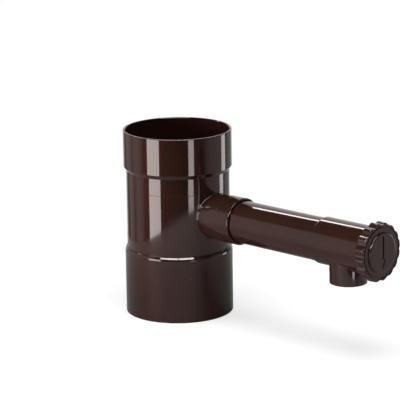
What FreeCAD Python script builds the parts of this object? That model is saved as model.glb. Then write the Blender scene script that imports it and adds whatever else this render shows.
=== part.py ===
import FreeCAD, Part
import math
import os

# Rainwater diverter, millimetres, +Z up the downpipe, +X along the side arm.
# The origin is the centre of the lower socket's mouth, where the object stands.

# Joints between the pieces
glue_gap = 0.05
turning_gap = 0.05
free_gap = 0.3

# Downpipe sockets, upper and lower. The barrel's lower end is a spigot of the downpipe's own size.
downpipe_r = 40.0
socket_gap = 0.2
upper_socket_depth = 28.4
upper_socket_wall = 1.8
upper_socket_lead = 0.5
lower_socket_depth = 25.0
lower_socket_wall = 1.55

# Barrel of the body
barrel_wall = 2.4
barrel_below_arm = 54.4
barrel_above_side_socket = 13.3
collar_taper = 3.0
rim_round = 0.5

# Lower coupler
stop_rib_height = 2.0
stop_rib_width = 2.2
coupler_overlap = 25.3
coupler_chamfer = 2.9
coupler_lip = 0.45

# Side socket of the body
side_socket_wall = 1.85
side_socket_length = 28.2
side_socket_depth = 20.0
side_socket_round = 0.8
side_socket_fillet = 1.5
side_neck_wall = 1.6
side_neck_length = 2.5
side_shoulder_length = 8.0
side_shoulder_round = 4.0

# Arm pipe
arm_pipe_r = 16.2
arm_pipe_wall = 1.2
arm_pipe_length = 108.3

# Collector ring
collector_floor_drop = 1.0
collector_floor = 2.2
trough_width = 8.35
weir_wall = 2.2
weir_height = 24.0
collector_skirt = 14.0
collector_skirt_wall = 1.9

# Outlet tee and its spout
tee_socket_depth = 14.1
tee_socket_wall = 1.25
tee_stop_rib = 1.5
tee_mouth_lip = 0.45
tee_mouth_taper = 5.6
tee_chamber_wall = 1.3
spout_r = 13.9
spout_wall = 2.1
spout_below_axis = 27.8
spout_grip_length = 9.0
spout_stop_step = 0.2
spout_fillet = 0.8
catch_rib_height = 1.1
catch_rib_width = 1.4

# Valve plug and its seals
plug_wall = 1.3
plug_rim = 0.7
seal_section_r = 0.8
seal_squeeze_gap = 0.02
gland_wall = 1.2
gland_side = 0.1
gland_to_window = 1.4
gland_to_end_wall = 1.4
window_length = 19.2
window_edge_drop = 4.2
plug_end_wall = 1.4
end_wall_to_slot = 2.6
key_slot_length = 6.0
plug_end_below_tee_end = 3.3
key_width = 4.0
key_side_gap = 0.05

# Knob
flute_count = 16
flute_depth = 1.4
flute_first_deg = 8.5
knob_rib_gap = 0.7
knob_end_space = 1.9
knob_skirt_wall = 1.4
knob_front_wall = 1.6
knob_front_round = 1.6
knob_bead_width = 2.0
face_groove_inset = 4.6
face_groove_width = 1.0
face_groove_depth = 0.9
boss_inset = 7.1
boss_slope = 0.2
boss_height = 1.4
boss_round = 0.7
hub_wall = 1.3
hub_end_gap = 2.0
arrow_depth = 0.6
arrow_top = 12.4
arrow_tip = -12.3
arrow_head_length = 7.4
arrow_head_width = 7.2
arrow_shaft_width = 2.2

# Small roundings, and how far cutting tools reach past a face
edge_round = 0.3
cut_past = 1.0

# Radii about the arm's axis
arm_bore_r = arm_pipe_r - arm_pipe_wall
arm_socket_r = arm_pipe_r + glue_gap
side_socket_r = arm_socket_r + side_socket_wall
side_neck_r = arm_bore_r + side_neck_wall
tee_r = arm_socket_r + tee_socket_wall
chamber_r = tee_r - tee_chamber_wall
plug_r = chamber_r - turning_gap
plug_bore_r = plug_r - plug_wall
seal_centre_r = chamber_r - seal_squeeze_gap - seal_section_r
gland_floor_r = seal_centre_r - seal_section_r
gland_bore_r = gland_floor_r - gland_wall
hub_r = plug_bore_r - glue_gap
hub_bore_r = hub_r - hub_wall
catch_rib_r = tee_r + catch_rib_height
bead_r = tee_r + free_gap
knob_cavity_r = catch_rib_r + knob_rib_gap
flute_valley_r = knob_cavity_r + knob_skirt_wall
flute_ridge_r = flute_valley_r + flute_depth
face_groove_r = flute_ridge_r - face_groove_inset
boss_foot_r = flute_ridge_r - boss_inset
boss_top_r = boss_foot_r - boss_slope

# Heights
stop_rib_z = lower_socket_depth
barrel_end_z = stop_rib_z + stop_rib_height
coupler_top_z = barrel_end_z + coupler_overlap
arm_z = barrel_end_z + barrel_below_arm
taper_foot_z = arm_z + side_socket_r + barrel_above_side_socket
taper_head_z = taper_foot_z + collar_taper
body_top_z = taper_head_z + upper_socket_depth
spout_end_z = arm_z - spout_below_axis
spout_stop_z = spout_end_z + spout_grip_length
collector_floor_z = arm_z - arm_bore_r - collector_floor_drop

# Radii about the downpipe's axis
barrel_r = downpipe_r
socket_bore_r = downpipe_r + socket_gap
collar_r = socket_bore_r + upper_socket_wall
coupler_r = socket_bore_r + lower_socket_wall
coupler_bore_r = barrel_r + glue_gap
barrel_bore_r = barrel_r - barrel_wall
collector_r = barrel_bore_r - glue_gap
weir_r = collector_r - trough_width
weir_bore_r = weir_r - weir_wall

# Radius about the spout's axis, above the grip
spout_root_r = spout_r + spout_stop_step

# Stations along the arm
side_neck_end_x = barrel_r + side_neck_length
side_shoulder_end_x = side_neck_end_x + side_shoulder_length
side_socket_end_x = barrel_r + side_socket_length
pipe_start_x = side_socket_end_x - side_socket_depth
pipe_end_x = pipe_start_x + arm_pipe_length
tee_mouth_x = pipe_end_x - tee_socket_depth
chamber_x = pipe_end_x + tee_stop_rib
plug_x = chamber_x + free_gap
gland_half = seal_section_r + gland_side
inner_seal_x = plug_x + plug_rim + gland_half
window_x = inner_seal_x + gland_half + gland_to_window
spout_x = window_x + window_length / 2
outer_seal_x = window_x + window_length + gland_to_window + gland_half
wall_x = outer_seal_x + gland_half + gland_to_end_wall
slot_x = wall_x + plug_end_wall + end_wall_to_slot
plug_end_x = slot_x + key_slot_length
tee_end_x = plug_end_x + plug_end_below_tee_end
bead_end_x = tee_end_x - catch_rib_width - free_gap
knob_back_x = bead_end_x - knob_bead_width
knob_cavity_x = tee_end_x + knob_end_space
knob_front_x = knob_cavity_x + knob_front_wall
boss_top_x = knob_front_x + boss_height
hub_start_x = wall_x + plug_end_wall + hub_end_gap


def rounded_wire(corners, place):
    """Closed wire through corners (a, b) or (a, b, rounding), each rounding a tangent arc."""
    points = [FreeCAD.Vector(c[0], c[1], 0) for c in corners]
    rounds = [c[2] if len(c) > 2 else 0.0 for c in corners]
    stretches = []
    for i, corner in enumerate(points):
        back = (points[i - 1] - corner).normalize()
        ahead = (points[(i + 1) % len(points)] - corner).normalize()
        if rounds[i] > 0:
            half = back.getAngle(ahead) / 2
            reach = rounds[i] / math.tan(half)
            inward = (back + ahead).normalize()
            middle = corner + inward * (rounds[i] / math.sin(half) - rounds[i])
            stretches.append([corner + back * reach, middle, corner + ahead * reach])
        else:
            stretches.append([corner])
    edges = []
    for i, stretch in enumerate(stretches):
        spots = [FreeCAD.Vector(*place(p.x, p.y)) for p in stretch]
        if len(spots) == 3:
            edges.append(Part.Arc(*spots).toShape())
        following = stretches[(i + 1) % len(stretches)][0]
        start = FreeCAD.Vector(*place(stretch[-1].x, stretch[-1].y))
        end = FreeCAD.Vector(*place(following.x, following.y))
        if start.distanceToPoint(end) > 1e-6:
            edges.append(Part.LineSegment(start, end).toShape())
    return Part.Wire(edges)


def turned_upright(corners):
    """Solid turned about the downpipe's axis from corners (radius, height, rounding)."""
    wire = rounded_wire(corners, lambda r, z: (r, 0, z))
    return Part.Face(wire).revolve(FreeCAD.Vector(0, 0, 0), FreeCAD.Vector(0, 0, 1), 360)


def turned_along_arm(corners):
    """Solid turned about the arm's axis from corners (station, radius, rounding)."""
    wire = rounded_wire(corners, lambda x, r: (x, 0, arm_z + r))
    return Part.Face(wire).revolve(FreeCAD.Vector(0, 0, arm_z), FreeCAD.Vector(1, 0, 0), 360)


def arm_rod(radius, start_x, end_x):
    """Round bar on the arm's axis."""
    centre = FreeCAD.Vector(start_x, 0, arm_z)
    return Part.makeCylinder(radius, end_x - start_x, centre, FreeCAD.Vector(1, 0, 0))


def turned_about_spout(corners):
    """Solid turned about the spout's axis from corners (radius, height, rounding)."""
    wire = rounded_wire(corners, lambda r, z: (spout_x + r, 0, z))
    return Part.Face(wire).revolve(FreeCAD.Vector(spout_x, 0, 0), FreeCAD.Vector(0, 0, 1), 360)


def block(low, high):
    """Box between two opposite corners."""
    sides = [b - a for a, b in zip(low, high)]
    return Part.makeBox(*sides, FreeCAD.Vector(*low))


def junction_edges(shape, first_r, from_first_axis, second_r, from_second_axis):
    """Edges that lie on both of two crossing cylinders."""
    found = []
    for edge in shape.Edges:
        spots = edge.discretize(9)
        on_first = all(abs(from_first_axis(p) - first_r) < 1e-3 for p in spots)
        on_second = all(abs(from_second_axis(p) - second_r) < 1e-3 for p in spots)
        if on_first and on_second:
            found.append(edge)
    return found


def from_downpipe_axis(p):
    """Distance of a point from the downpipe's axis."""
    return math.hypot(p.x, p.y)


def from_arm_axis(p):
    """Distance of a point from the arm's axis."""
    return math.hypot(p.y, p.z - arm_z)


def from_spout_axis(p):
    """Distance of a point from the spout's axis."""
    return math.hypot(p.x - spout_x, p.y)


def make_body():
    """Barrel, upper socket and side socket in one moulding."""
    outside = turned_upright([
        (0, barrel_end_z),
        (barrel_r, barrel_end_z, edge_round),
        (barrel_r, taper_foot_z, edge_round),
        (collar_r, taper_head_z, rim_round),
        (collar_r, body_top_z, rim_round),
        (0, body_top_z),
    ])
    side = turned_along_arm([
        (0, 0),
        (0, side_neck_r),
        (side_neck_end_x, side_neck_r, side_shoulder_round),
        (side_shoulder_end_x, side_socket_r, side_shoulder_round),
        (side_socket_end_x, side_socket_r, side_socket_round),
        (side_socket_end_x, 0),
    ])
    solid = outside.fuse(side)
    seam = junction_edges(solid, barrel_r, from_downpipe_axis, side_neck_r, from_arm_axis)
    solid = solid.makeFillet(side_socket_fillet, seam)
    bore = turned_upright([
        (0, barrel_end_z - cut_past),
        (barrel_bore_r, barrel_end_z - cut_past),
        (barrel_bore_r, taper_head_z),
        (socket_bore_r, taper_head_z),
        (socket_bore_r, body_top_z - upper_socket_lead),
        (socket_bore_r + upper_socket_lead, body_top_z),
        (socket_bore_r + upper_socket_lead, body_top_z + cut_past),
        (0, body_top_z + cut_past),
    ])
    solid = solid.cut(bore)
    solid = solid.cut(arm_rod(arm_bore_r, 0, pipe_start_x + cut_past))
    return solid.cut(arm_rod(arm_socket_r, pipe_start_x, side_socket_end_x + cut_past))


def make_lower_coupler():
    """Sleeve glued on the barrel's end, with a stop rib and the lower downpipe socket."""
    return turned_upright([
        (socket_bore_r, 0, edge_round),
        (coupler_r, 0, rim_round),
        (coupler_r, coupler_top_z - coupler_chamfer, rim_round),
        (coupler_bore_r + coupler_lip, coupler_top_z),
        (coupler_bore_r, coupler_top_z),
        (coupler_bore_r, barrel_end_z),
        (barrel_r - stop_rib_width, barrel_end_z),
        (barrel_r - stop_rib_width, stop_rib_z),
        (socket_bore_r, stop_rib_z),
    ])


def make_collector_ring():
    """Trough round the barrel's wall, with its weir, floor and glued skirt."""
    floor_bottom_z = collector_floor_z - collector_floor
    skirt_bore_r = collector_r - collector_skirt_wall
    return turned_upright([
        (weir_bore_r, floor_bottom_z, edge_round),
        (skirt_bore_r, floor_bottom_z),
        (skirt_bore_r, floor_bottom_z - collector_skirt),
        (collector_r, floor_bottom_z - collector_skirt),
        (collector_r, collector_floor_z),
        (weir_r, collector_floor_z),
        (weir_r, collector_floor_z + weir_height, rim_round),
        (weir_bore_r, collector_floor_z + weir_height, rim_round),
    ])


def make_arm_pipe():
    """Plain side pipe between the side socket and the outlet tee."""
    return turned_along_arm([
        (pipe_start_x, arm_bore_r),
        (pipe_start_x, arm_pipe_r, edge_round),
        (pipe_end_x, arm_pipe_r, edge_round),
        (pipe_end_x, arm_bore_r),
    ])


def make_outlet_tee():
    """End fitting with a tapered mouth, a valve chamber, a downward spout and a catch rib."""
    outside = turned_along_arm([
        (tee_mouth_x, 0),
        (tee_mouth_x, arm_socket_r + tee_mouth_lip, edge_round),
        (tee_mouth_x + tee_mouth_taper, tee_r, rim_round),
        (tee_end_x - catch_rib_width, tee_r),
        (tee_end_x - catch_rib_width, catch_rib_r),
        (tee_end_x, catch_rib_r, edge_round),
        (tee_end_x, 0),
    ])
    spout = turned_about_spout([
        (0, spout_end_z),
        (spout_r, spout_end_z, edge_round),
        (spout_r, spout_stop_z),
        (spout_root_r, spout_stop_z),
        (spout_root_r, arm_z),
        (0, arm_z),
    ])
    solid = outside.fuse(spout)
    seam = junction_edges(solid, tee_r, from_arm_axis, spout_root_r, from_spout_axis)
    solid = solid.makeFillet(spout_fillet, seam)
    solid = solid.cut(arm_rod(arm_socket_r, tee_mouth_x - cut_past, pipe_end_x))
    solid = solid.cut(arm_rod(arm_bore_r, pipe_end_x - cut_past, chamber_x + cut_past))
    solid = solid.cut(arm_rod(chamber_r, chamber_x, tee_end_x + cut_past))
    return solid.cut(turned_about_spout([
        (0, spout_end_z - cut_past),
        (spout_r - spout_wall, spout_end_z - cut_past),
        (spout_r - spout_wall, arm_z),
        (0, arm_z),
    ]))


def make_valve_plug():
    """Turning tube with two seal glands, a window over the spout and a closed outer end."""
    inner_gland = (inner_seal_x - gland_half, inner_seal_x + gland_half)
    outer_gland = (outer_seal_x - gland_half, outer_seal_x + gland_half)
    solid = turned_along_arm([
        (plug_x, gland_bore_r),
        (plug_x, plug_r, edge_round),
        (inner_gland[0], plug_r),
        (inner_gland[0], gland_floor_r),
        (inner_gland[1], gland_floor_r),
        (inner_gland[1], plug_r),
        (outer_gland[0], plug_r),
        (outer_gland[0], gland_floor_r),
        (outer_gland[1], gland_floor_r),
        (outer_gland[1], plug_r),
        (plug_end_x, plug_r, edge_round),
        (plug_end_x, plug_bore_r),
        (wall_x + plug_end_wall, plug_bore_r),
        (wall_x + plug_end_wall, 0),
        (wall_x, 0),
        (wall_x, gland_bore_r),
        (outer_gland[0] - gland_wall, gland_bore_r),
        (outer_gland[0] - gland_wall, plug_bore_r),
        (inner_gland[1] + gland_wall, plug_bore_r),
        (inner_gland[1] + gland_wall, gland_bore_r),
    ])
    window = block(
        (window_x, -plug_r - cut_past, arm_z - plug_r - cut_past),
        (window_x + window_length, plug_r + cut_past, arm_z - window_edge_drop),
    )
    half_slot = key_width / 2 + key_side_gap
    slots = block(
        (slot_x, -plug_r - cut_past, arm_z - half_slot),
        (plug_end_x + cut_past, plug_r + cut_past, arm_z + half_slot),
    )
    return solid.cut(window).cut(slots)


def make_seal(centre_x):
    """Rubber ring in one gland of the plug."""
    centre = FreeCAD.Vector(centre_x, 0, arm_z)
    return Part.makeTorus(seal_centre_r, seal_section_r, centre, FreeCAD.Vector(1, 0, 0))


def fluted_bar(start_x, end_x):
    """Bar whose outline is a ring of ridge arcs and valley arcs."""
    middle_r = (flute_ridge_r + flute_valley_r) / 2
    step = math.radians(360 / flute_count)
    first = math.radians(flute_first_deg)

    def spot(radius, angle):
        return FreeCAD.Vector(start_x, radius * math.cos(angle), arm_z + radius * math.sin(angle))

    edges = []
    for i in range(flute_count):
        ridge = first + i * step
        before = spot(middle_r, ridge - step / 4)
        after = spot(middle_r, ridge + step / 4)
        following = spot(middle_r, ridge + 3 * step / 4)
        edges.append(Part.Arc(before, spot(flute_ridge_r, ridge), after).toShape())
        edges.append(Part.Arc(after, spot(flute_valley_r, ridge + step / 2), following).toShape())
    outline = Part.Face(Part.Wire(edges))
    return outline.extrude(FreeCAD.Vector(end_x - start_x, 0, 0))


def arrow_bar():
    """Arrow that points down, as a bar that reaches into the knob's face."""
    head_top = arrow_tip + arrow_head_length
    outline = [
        (arrow_shaft_width / 2, arrow_top),
        (arrow_shaft_width / 2, head_top),
        (arrow_head_width / 2, head_top),
        (0, arrow_tip),
        (-arrow_head_width / 2, head_top),
        (-arrow_shaft_width / 2, head_top),
        (-arrow_shaft_width / 2, arrow_top),
    ]
    start_x = boss_top_x - arrow_depth
    wire = rounded_wire(outline, lambda y, z: (start_x, y, arm_z + z))
    return Part.Face(wire).extrude(FreeCAD.Vector(arrow_depth + cut_past, 0, 0))


def make_valve_knob():
    """Fluted cap with a bead behind the tee's catch rib, a keyed hub and an arrow on its face."""
    groove_low_r = face_groove_r - face_groove_width / 2
    groove_high_r = face_groove_r + face_groove_width / 2
    groove_x = knob_front_x - face_groove_depth
    outside = turned_along_arm([
        (knob_back_x, 0),
        (knob_back_x, flute_ridge_r, rim_round),
        (knob_front_x, flute_ridge_r, knob_front_round),
        (knob_front_x, groove_high_r),
        (groove_x, groove_high_r),
        (groove_x, groove_low_r),
        (knob_front_x, groove_low_r),
        (knob_front_x, boss_foot_r),
        (boss_top_x, boss_top_r, boss_round),
        (boss_top_x, 0),
    ])
    solid = outside.common(fluted_bar(knob_back_x - cut_past, boss_top_x + cut_past))
    cavity = turned_along_arm([
        (knob_back_x - cut_past, 0),
        (knob_back_x - cut_past, bead_r),
        (bead_end_x, bead_r),
        (bead_end_x, knob_cavity_r),
        (knob_cavity_x, knob_cavity_r),
        (knob_cavity_x, hub_bore_r),
        (boss_top_x - knob_front_wall, hub_bore_r),
        (boss_top_x - knob_front_wall, 0),
    ])
    solid = solid.cut(cavity)
    hub_end_x = knob_cavity_x + edge_round
    hub = arm_rod(hub_r, hub_start_x, hub_end_x).cut(arm_rod(hub_bore_r, hub_start_x, hub_end_x))
    key_r = plug_r - glue_gap
    keys = block(
        (slot_x + free_gap, -key_r, arm_z - key_width / 2),
        (hub_end_x, key_r, arm_z + key_width / 2),
    )
    keys = keys.common(arm_rod(key_r, slot_x, hub_end_x))
    keys = keys.cut(arm_rod(hub_r - edge_round, slot_x, hub_end_x))
    solid = solid.fuse(hub).fuse(keys).removeSplitter()
    return solid.cut(arrow_bar())


def save(name, shape):
    shape.exportStep(os.path.join("parts", name + ".step"))
    print(name, shape.isValid(), len(shape.Solids), round(shape.Volume))


os.makedirs("parts", exist_ok=True)
save("body", make_body())
save("lower_coupler", make_lower_coupler())
save("collector_ring", make_collector_ring())
save("arm_pipe", make_arm_pipe())
save("outlet_tee", make_outlet_tee())
save("valve_plug", make_valve_plug())
save("seal_inner", make_seal(inner_seal_x))
save("seal_outer", make_seal(outer_seal_x))
save("valve_knob", make_valve_knob())
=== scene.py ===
import logging
import math
from dataclasses import dataclass, field
from enum import Enum
from typing import Callable, Optional, Sequence

import bmesh
import bpy
import numpy as np
from mathutils import Matrix, Vector
from mathutils.geometry import delaunay_2d_cdt


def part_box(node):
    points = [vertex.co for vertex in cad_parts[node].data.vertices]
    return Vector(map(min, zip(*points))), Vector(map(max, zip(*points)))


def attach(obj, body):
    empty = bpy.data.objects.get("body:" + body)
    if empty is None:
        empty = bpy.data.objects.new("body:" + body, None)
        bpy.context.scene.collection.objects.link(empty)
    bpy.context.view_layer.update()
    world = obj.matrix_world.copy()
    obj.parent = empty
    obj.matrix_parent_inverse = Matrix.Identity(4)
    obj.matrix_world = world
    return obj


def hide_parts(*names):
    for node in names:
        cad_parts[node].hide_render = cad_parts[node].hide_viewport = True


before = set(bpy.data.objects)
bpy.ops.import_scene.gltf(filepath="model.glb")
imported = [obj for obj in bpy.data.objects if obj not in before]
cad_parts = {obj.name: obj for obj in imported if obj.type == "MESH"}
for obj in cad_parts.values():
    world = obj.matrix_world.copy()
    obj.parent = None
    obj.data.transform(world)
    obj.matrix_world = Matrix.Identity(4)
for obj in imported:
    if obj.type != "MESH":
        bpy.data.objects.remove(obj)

# The brown rainwater diverter: metres, +Z up the downpipe, +X along the side arm to the knob.
# The origin is the centre of the lower rim, where the object stands.
# A size that ends in _r is a radius, one in _x is a place along the arm, one in _deg is an angle.

log = logging.getLogger("diverter")

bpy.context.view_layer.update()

# Points nearer than WELD become one, and than SNAP where a flat face is cut into triangles. A straight
# run's first and last points stand HOLD inside its ends, and a run shorter than SHORT_RUN has none.
# A rounded corner has ROUND_STEPS faces.
WELD = 2e-6
SNAP = 1e-7
HOLD = 0.0002
SHORT_RUN = 0.0006
ROUND_STEPS = 6

# Where the rows of a branch lie, as shares of the way over each of its stretches.
OUTER_SHARES = (0.0, 0.16, 0.32, 0.48, 0.64, 0.78, 0.88, 0.95, 1.0)
OUTSIDE_SHARES = (0.02, 0.1, 0.25, 0.4, 0.55, 0.7, 0.85, 0.98)
BORE_SHARES = (0.1, 0.5, 0.9, 1.0)
INNER_ROWS = 16

# The arm's axis above the floor, and the camera's direction round the upright axis from +X.
ARM_HEIGHT = 0.0814
CAMERA_DEG = -46.306

Socket = bpy.types.NodeSocket


class Slot(Enum):
    """The material slots' names."""

    OUTSIDE = "brown_pvc"
    INSIDE = "brown_pvc_inner"
    SEAL = "seal_rubber"


class Body(Enum):
    """The two bodies that move against each other."""

    DIVERTER = "diverter"
    KNOB = "knob"


@dataclass(frozen=True)
class Corner:
    """One corner of a profile: how far along the axis, how far out from it, and its rounding."""

    along: float
    out: float
    rounding: float = 0.0


def unit(vector: np.ndarray) -> np.ndarray:
    """The vector at length one."""
    return vector / np.linalg.norm(vector)


def direction(turn_deg: float, rise_deg: float) -> np.ndarray:
    """The unit vector at an angle round from +X and an angle above the horizon."""
    turn, rise = math.radians(turn_deg), math.radians(rise_deg)
    return np.array([math.cos(turn) * math.cos(rise), math.sin(turn) * math.cos(rise), math.sin(rise)])


def straight_run(start: np.ndarray, end: np.ndarray, spacing: float) -> np.ndarray:
    """Points strictly between two ends of a straight run.

    The first and last stand a fixed small hold inside the ends, so that the shading of a long flat
    run isn't bent by its rounded corners. The others are evenly spaced between them.

    Args:
        start: The run's first end.
        end: The run's last end.
        spacing: The widest step between the even points.

    Returns:
        An array of points, one a row, which is empty for a very short run.
    """
    length = float(np.linalg.norm(end - start))
    if length < SHORT_RUN:
        return np.zeros((0, 2))
    hold = min(HOLD, length / 4)
    count = max(1, math.ceil((length - 2 * hold) / spacing))
    share = np.linspace(hold, length - hold, count + 1) / length
    return start + share[:, None] * (end - start)


def rounded_corner(
    before: np.ndarray, corner: np.ndarray, after: np.ndarray, rounding: float,
) -> np.ndarray:
    """Points of the arc that rounds a corner.

    With half the angle between the two sides h, the arc touches each side at rounding / tan h from
    the corner, and its centre is rounding / sin h from it, along the line that halves the angle. Each
    point is the centre plus the two touching radii, blended by the sines of their shares of the sweep.

    Args:
        before: The corner before this one.
        corner: The corner itself.
        after: The corner after this one.
        rounding: The arc's radius.

    Returns:
        The arc's points, one a row.
    """
    back = unit(before - corner)
    ahead = unit(after - corner)
    half = math.acos(float(np.clip(back @ ahead, -1, 1))) / 2
    centre = corner + unit(back + ahead) * rounding / math.sin(half)
    first = corner + back * rounding / math.tan(half) - centre
    last = corner + ahead * rounding / math.tan(half) - centre
    sweep = math.pi - 2 * half
    share = np.linspace(0, 1, ROUND_STEPS + 1)[:, None]
    blend = np.sin((1 - share) * sweep) * first + np.sin(share * sweep) * last
    return centre + blend / math.sin(sweep)


def profile_line(corners: Sequence[Corner], closed: bool = True, spacing: float = 0.004) -> np.ndarray:
    """Points (along, out) of a profile, with its rounded corners and its filled straight runs.

    Args:
        corners: The corners in order.
        closed: Whether the last corner joins the first.
        spacing: The widest step along a straight run.

    Returns:
        The profile's points, one a row.
    """
    spots = np.array([(c.along, c.out) for c in corners])
    count = len(corners)
    stretches = []
    for i, corner in enumerate(corners):
        is_end = not closed and i in (0, count - 1)
        if corner.rounding > 0 and not is_end:
            after = spots[(i + 1) % count]
            stretches.append(rounded_corner(spots[i - 1], spots[i], after, corner.rounding))
        else:
            stretches.append(spots[i:i + 1])
    rows = []
    for i, stretch in enumerate(stretches):
        rows.append(stretch)
        if closed or i < count - 1:
            rows.append(straight_run(stretch[-1], stretches[(i + 1) % count][0], spacing))
    return np.concatenate(rows)


def even_angles(count: int) -> np.ndarray:
    """Angles evenly spaced round a full turn, in radians, the first at zero."""
    return np.arange(count) * (2 * math.pi / count)


def about_downpipe(along: np.ndarray, out: np.ndarray, angle: np.ndarray) -> np.ndarray:
    """Points about the upright axis: out times the angle's cosine and sine, at the height along."""
    along, out, angle = np.broadcast_arrays(along, out, angle)
    return np.stack([out * np.cos(angle), out * np.sin(angle), along], axis=-1)


@dataclass(frozen=True)
class ArmAxis:
    """The arm's level axis, at one height."""

    height: float

    def turn(self, along: np.ndarray, out: np.ndarray, angle: np.ndarray) -> np.ndarray:
        """Points about the level axis: angle zero points straight down, and a quarter turn to +Y."""
        along, out, angle = np.broadcast_arrays(along, out, angle)
        return np.stack([along, out * np.sin(angle), self.height - out * np.cos(angle)], axis=-1)


@dataclass
class Shell:
    """Grids of points that are joined where they meet and become one closed mesh.

    Args:
        name: The piece's name.
        points: The points of each grid so far.
        faces: The faces of each grid so far, by the numbers of their corners.
        size: How many points there are so far.
    """

    name: str
    points: list[np.ndarray] = field(default_factory=list)
    faces: list[list[tuple[int, ...]]] = field(default_factory=list)
    size: int = 0

    def add_grid(
        self, grid: np.ndarray, wrap_rows: bool, wrap_cols: bool, drop: Optional[np.ndarray] = None,
    ) -> None:
        """Adds a grid of points as four-sided faces.

        Args:
            grid: Points by row and column, shape (rows, columns, 3).
            wrap_rows: Whether the last row joins the first.
            wrap_cols: Whether the last column joins the first.
            drop: True for each face to leave out, by the row and column of its first corner.
        """
        rows, cols = grid.shape[:2]
        index = np.arange(rows * cols).reshape(rows, cols) + self.size
        right = np.roll(index, -1, axis=1)
        quads = np.stack([index, right, np.roll(right, -1, axis=0), np.roll(index, -1, axis=0)], axis=-1)
        keep = np.ones((rows, cols), bool)
        if not wrap_rows:
            keep[-1, :] = False
        if not wrap_cols:
            keep[:, -1] = False
        if drop is not None:
            keep &= ~drop
        self.points.append(grid.reshape(-1, 3))
        self.faces.append(quads[keep].tolist())
        self.size += rows * cols

    def add_faces(self, points: np.ndarray, faces: Sequence[Sequence[int]]) -> None:
        """Adds loose points and the faces between them.

        Args:
            points: The points, one a row.
            faces: The faces, by the rows of their corners.
        """
        self.points.append(points)
        self.faces.append([tuple(i + self.size for i in face) for face in faces])
        self.size += len(points)

    def finish(self, sharp_deg: float = 32.0) -> bpy.types.Object:
        """Makes the piece: joins doubles, turns faces outwards, and shades it smooth but for sharp edges.

        Args:
            sharp_deg: The angle between two faces past which their edge is sharp.

        Returns:
            The piece as an object at the origin.
        """
        mesh = bpy.data.meshes.new(self.name)
        mesh.from_pydata(np.concatenate(self.points), [], [face for group in self.faces for face in group])
        work = bmesh.new()
        work.from_mesh(mesh)
        bmesh.ops.remove_doubles(work, verts=work.verts, dist=WELD)
        bmesh.ops.recalc_face_normals(work, faces=work.faces)
        open_edges = sum(1 for edge in work.edges if not edge.is_manifold)
        work.to_mesh(mesh)
        work.free()
        mesh.shade_smooth()
        mesh.set_sharp_from_angle(angle=math.radians(sharp_deg))
        piece = bpy.data.objects.new(self.name, mesh)
        bpy.context.scene.collection.objects.link(piece)
        log.info("%s: %d faces, %d open edges", self.name, len(mesh.polygons), open_edges)
        return piece


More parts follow.
